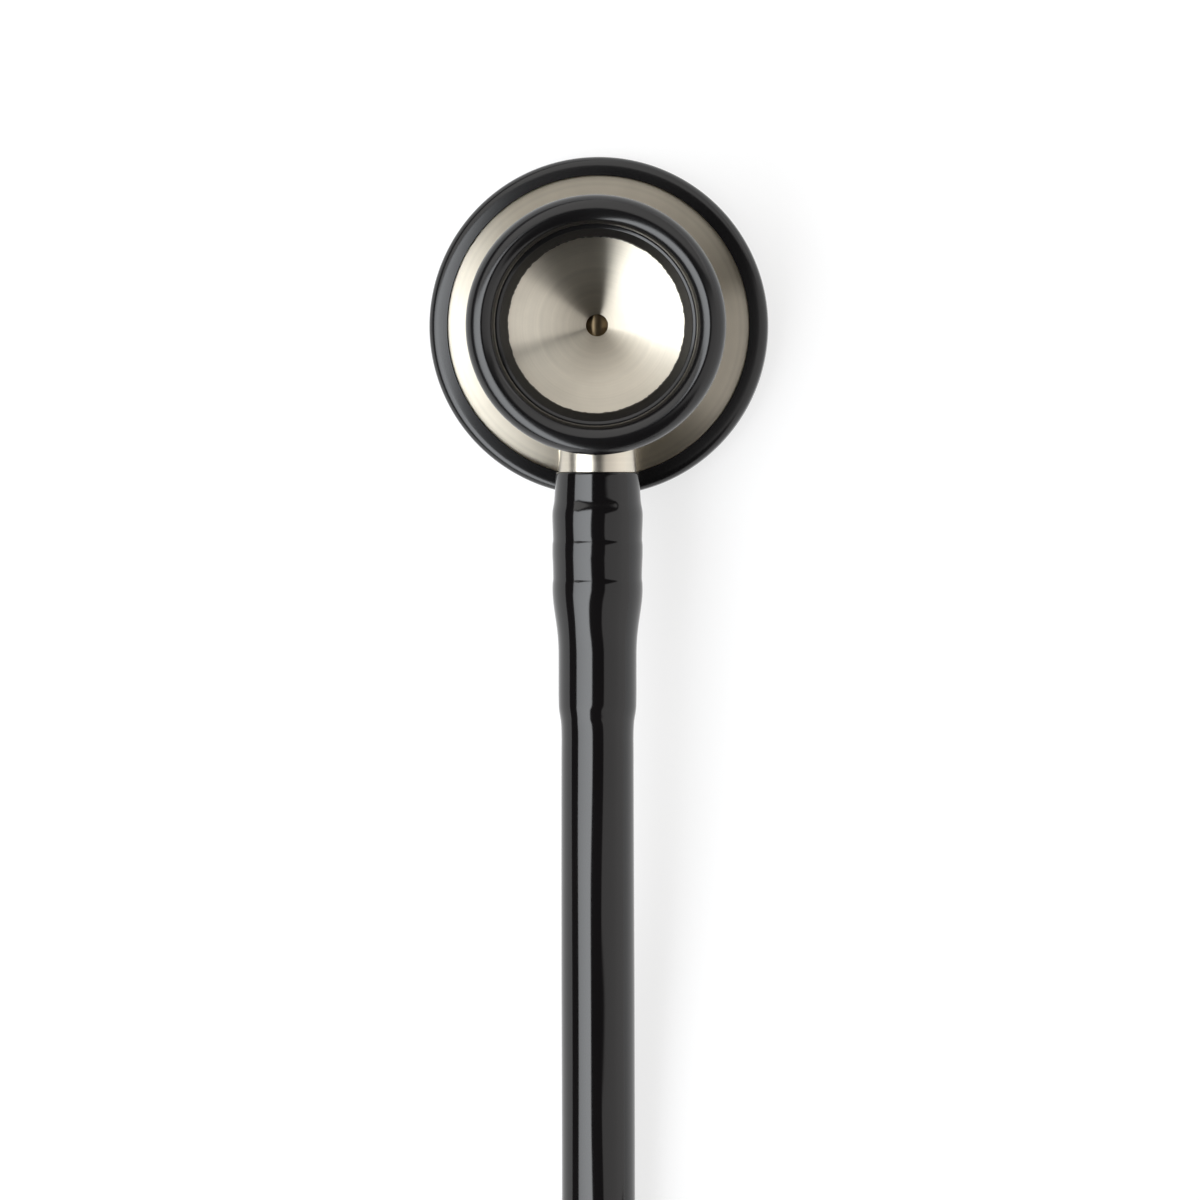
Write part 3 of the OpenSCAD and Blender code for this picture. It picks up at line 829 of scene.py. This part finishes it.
def add_floor():
    mesh = bpy.data.meshes.new("floor")
    corners = [(FLOOR_HALF * x, FLOOR_HALF * y, 0) for x, y in ((-1, -1), (1, -1), (1, 1), (-1, 1))]
    mesh.from_pydata(corners, [], [(0, 1, 2, 3)])
    floor = bpy.data.objects.new("floor", mesh)
    scene.collection.objects.link(floor)
    floor.location.z = -FLOOR_GAP
    material, nodes, links, bsdf = new_material("floor")
    bsdf.inputs["Base Color"].default_value = (FLOOR_GREY, FLOOR_GREY, FLOOR_GREY, 1)
    bsdf.inputs["Roughness"].default_value = 0.9
    bsdf.inputs["Emission Color"].default_value = (1, 1, 1, 1)
    bsdf.inputs["Emission Strength"].default_value = FLOOR_GLOW
    # seen from below the floor is clear
    output = nodes["Material Output"]
    choose = nodes.new("ShaderNodeMixShader")
    links.new(nodes.new("ShaderNodeNewGeometry").outputs["Backfacing"], choose.inputs["Fac"])
    links.new(bsdf.outputs[0], choose.inputs[1])
    links.new(nodes.new("ShaderNodeBsdfTransparent").outputs[0], choose.inputs[2])
    links.new(choose.outputs[0], output.inputs["Surface"])
    dress(floor, material)


# Soft panels in a plane overhead. Places in it are slopes from the vertical: X and Y over height.
# Each panel: X from and to, (Y, lean) of its lower and its upper edge, softness of the edges,
# brightness at X slopes -BRIGHT_AT and BRIGHT_AT, and tint
BRIGHT_AT = 2.5
PANELS = [
    (-2.0, -0.27, (-30, 0), (0.29, 0), 0.04, 3.2, 8.9, (0.97, 1.0, 1.03)),
    (0.37, 60, (-0.2, -0.385), (-0.01, 0.305), 0.03, 0.58, 1.1, (1.0, 0.98, 0.97)),
    (-2.2, 60, (0.45, 0.065), (60, 0), 0.035, 1.78, 0.84, (1.0, 0.985, 0.965)),
]
SKY_DARK = 0.045
BACKDROP = 0.9
# The panels' X edges lean, and step by this much between these two Y slopes
X_LEAN, X_STEP, STEP_FROM, STEP_TO = -0.05, 0.13, -0.35, 0
# Further out than this X slope, the panels' Y edges run straight away from the middle
FAN_FROM = 1.25
LOWEST = 0.02            # heights below this count as this


def add_sky():
    world = bpy.data.worlds.new("studio")
    scene.world = world
    world.use_nodes = True
    nodes, links = world.node_tree.nodes, world.node_tree.links
    nodes.clear()
    way = nodes.new("ShaderNodeTexCoord").outputs["Generated"]

    def compute(kind, a, b=None, c=None):
        node = nodes.new("ShaderNodeMath")
        node.operation = kind
        for socket, value in zip(node.inputs, (a, b, c)):
            if isinstance(value, (int, float)):
                socket.default_value = value
            elif value is not None:
                links.new(value, socket)
        return node.outputs[0]

    def mapped(value, low, high, to_low, to_high, kind="SMOOTHSTEP"):
        node = nodes.new("ShaderNodeMapRange")
        node.interpolation_type = kind
        links.new(value, node.inputs["Value"])
        for name, number in (("From Min", low), ("From Max", high),
                ("To Min", to_low), ("To Max", to_high)):
            node.inputs[name].default_value = number
        return node.outputs["Result"]

    def above(value, edge, soft):
        return mapped(value, edge - soft, edge + soft, 0, 1)

    def below(value, edge, soft):
        return mapped(value, edge - soft, edge + soft, 1, 0)

    def vector_math(kind):
        node = nodes.new("ShaderNodeVectorMath")
        node.operation = kind
        return node

    split = nodes.new("ShaderNodeSeparateXYZ")
    links.new(way, split.inputs[0])
    height = compute("MAXIMUM", split.outputs["Z"], LOWEST)
    along_x = compute("DIVIDE", split.outputs["X"], height)
    along_y = compute("DIVIDE", split.outputs["Y"], height)
    along_x = compute("MULTIPLY_ADD", along_y, X_LEAN, along_x)
    along_x = compute("ADD", along_x, mapped(along_y, STEP_FROM, STEP_TO, X_STEP, 0))
    far = compute("MAXIMUM", compute("DIVIDE", compute("ABSOLUTE", along_x), FAN_FROM), 1)
    along_y = compute("DIVIDE", along_y, far)
    total = None
    for x0, x1, (y0, lean0), (y1, lean1), soft, first, last, tint in PANELS:
        over_y0 = above(compute("MULTIPLY_ADD", along_x, -lean0, along_y), y0, soft)
        under_y1 = below(compute("MULTIPLY_ADD", along_x, -lean1, along_y), y1, soft)
        within_x = compute("MULTIPLY", above(along_x, x0, soft), below(along_x, x1, soft))
        mask = compute("MULTIPLY", within_x, compute("MULTIPLY", over_y0, under_y1))
        brightness = mapped(along_x, -BRIGHT_AT, BRIGHT_AT, first, last, "LINEAR")
        light = vector_math("SCALE")
        light.inputs[0].default_value = tint
        links.new(compute("MULTIPLY", mask, brightness), light.inputs["Scale"])
        if total is None:
            total = light.outputs["Vector"]
        else:
            add = vector_math("ADD")
            links.new(total, add.inputs[0])
            links.new(light.outputs["Vector"], add.inputs[1])
            total = add.outputs["Vector"]
    lifted = vector_math("ADD")
    lifted.inputs[1].default_value = (SKY_DARK, SKY_DARK, SKY_DARK)
    links.new(total, lifted.inputs[0])
    # the camera sees a plain backdrop, and everything else sees the panels
    lit = nodes.new("ShaderNodeBackground")
    links.new(lifted.outputs["Vector"], lit.inputs["Color"])
    plain = nodes.new("ShaderNodeBackground")
    plain.inputs["Color"].default_value = (BACKDROP, BACKDROP, BACKDROP, 1)
    choose = nodes.new("ShaderNodeMixShader")
    links.new(nodes.new("ShaderNodeLightPath").outputs["Is Camera Ray"], choose.inputs["Fac"])
    links.new(lit.outputs[0], choose.inputs[1])
    links.new(plain.outputs[0], choose.inputs[2])
    output = nodes.new("ShaderNodeOutputWorld")
    links.new(choose.outputs[0], output.inputs["Surface"])


add_floor()
add_sky()
scene.view_settings.view_transform = "Standard"
scene.view_settings.look = "None"
